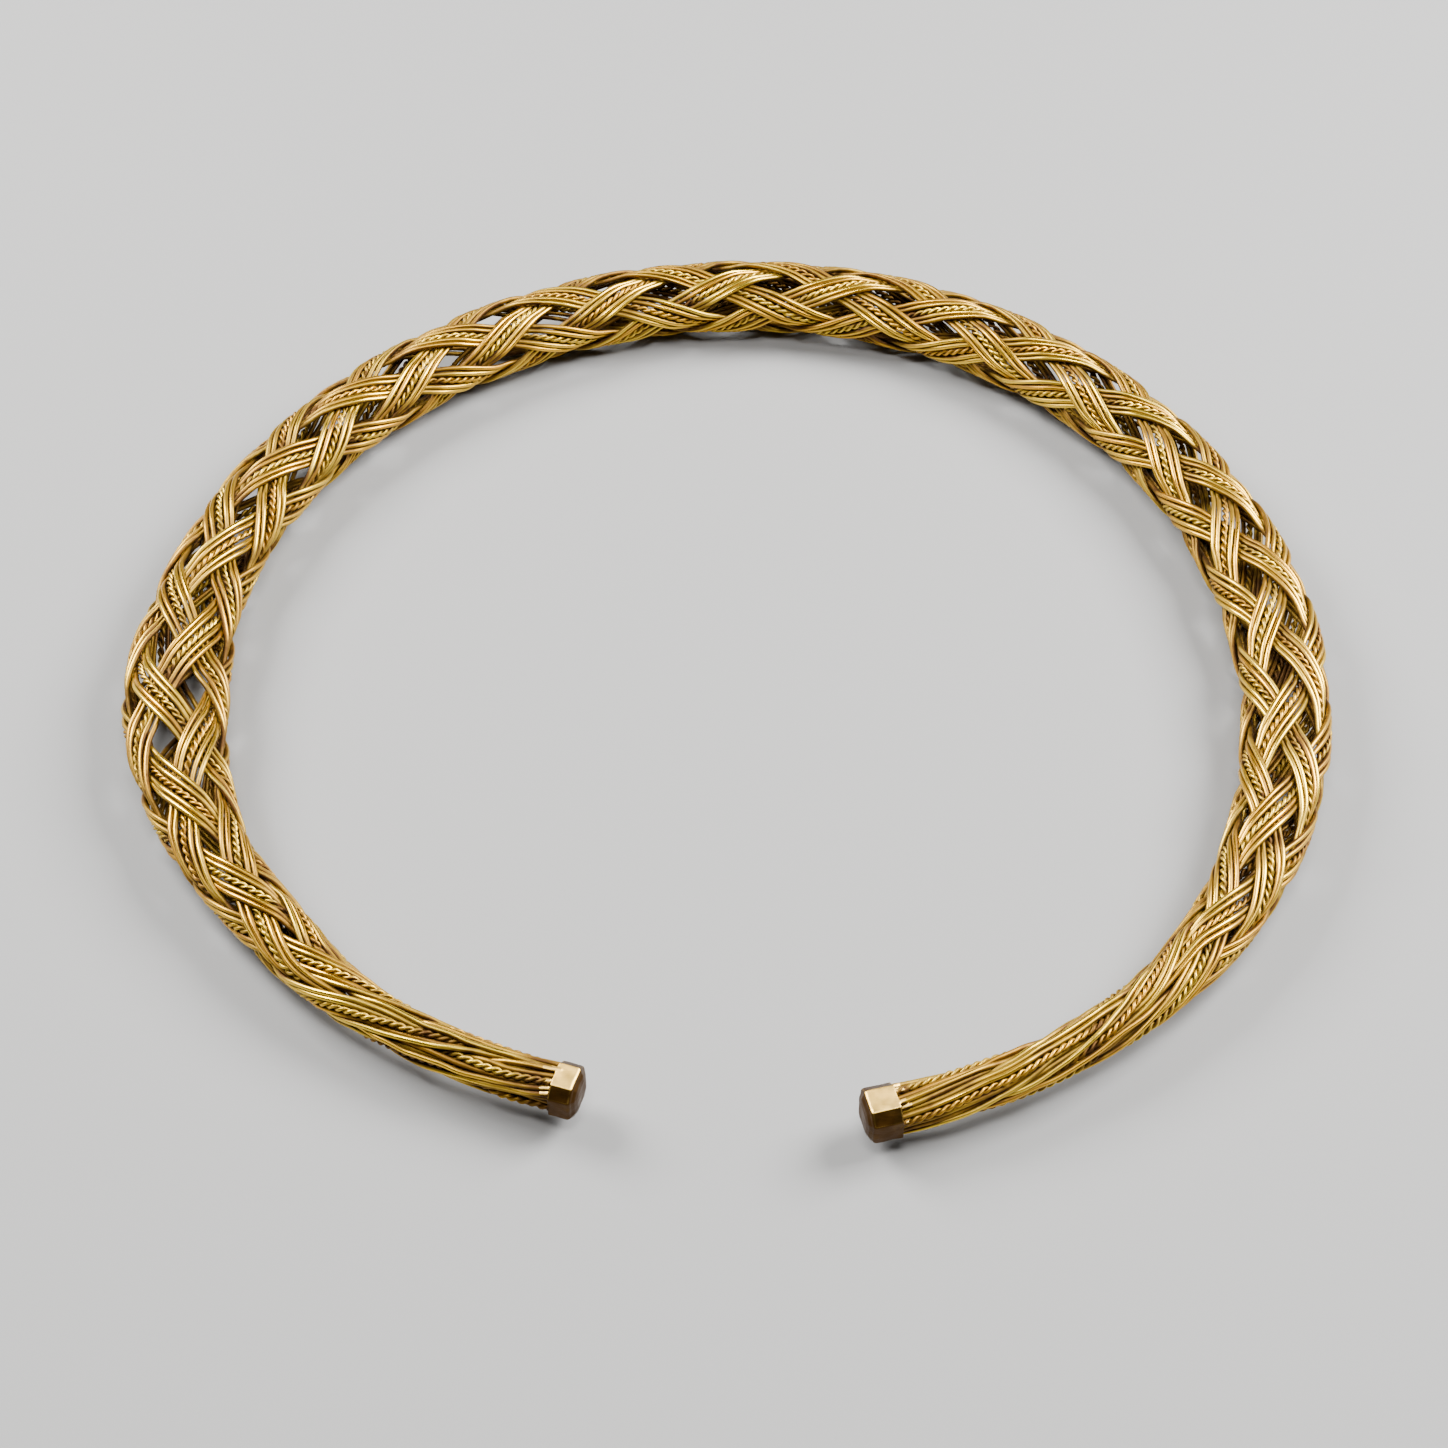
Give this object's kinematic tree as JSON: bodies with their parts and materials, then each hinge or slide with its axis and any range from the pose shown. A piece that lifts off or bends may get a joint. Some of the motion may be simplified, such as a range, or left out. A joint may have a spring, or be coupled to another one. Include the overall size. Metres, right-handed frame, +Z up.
{
  "type": "braided wire neck ring with faceted terminals",
  "caption": "Open neck ring of gold wire: bands of plain and twisted wire braided into a hollow tube, gathered into a bundle at each end and fused into faceted terminals.",
  "frame": {"origin": "on the surface that the ring lies on, under the middle of its outer box", "axes": "+Z up out of the ring's plane, the opening faces -Y, +X towards the terminal on the right of the picture"},
  "size_m": [0.15, 0.1442, 0.0095],
  "materials": {
    "wire_gold": "bright warm gold wire, soft sheen, brown dirt between the wires",
    "terminal_gold": "duller satin gold, fine scratches and small pits"
  },
  "bodies": {
    "root": {"band_right_hand_1": "wire_gold", "band_right_hand_2": "wire_gold", "band_right_hand_3": "wire_gold", "band_right_hand_4": "wire_gold", "band_left_hand_1": "wire_gold", "band_left_hand_2": "wire_gold", "band_left_hand_3": "wire_gold", "band_left_hand_4": "wire_gold", "terminal_right": "terminal_gold", "terminal_left": "terminal_gold"}
  },
  "joints": []
}
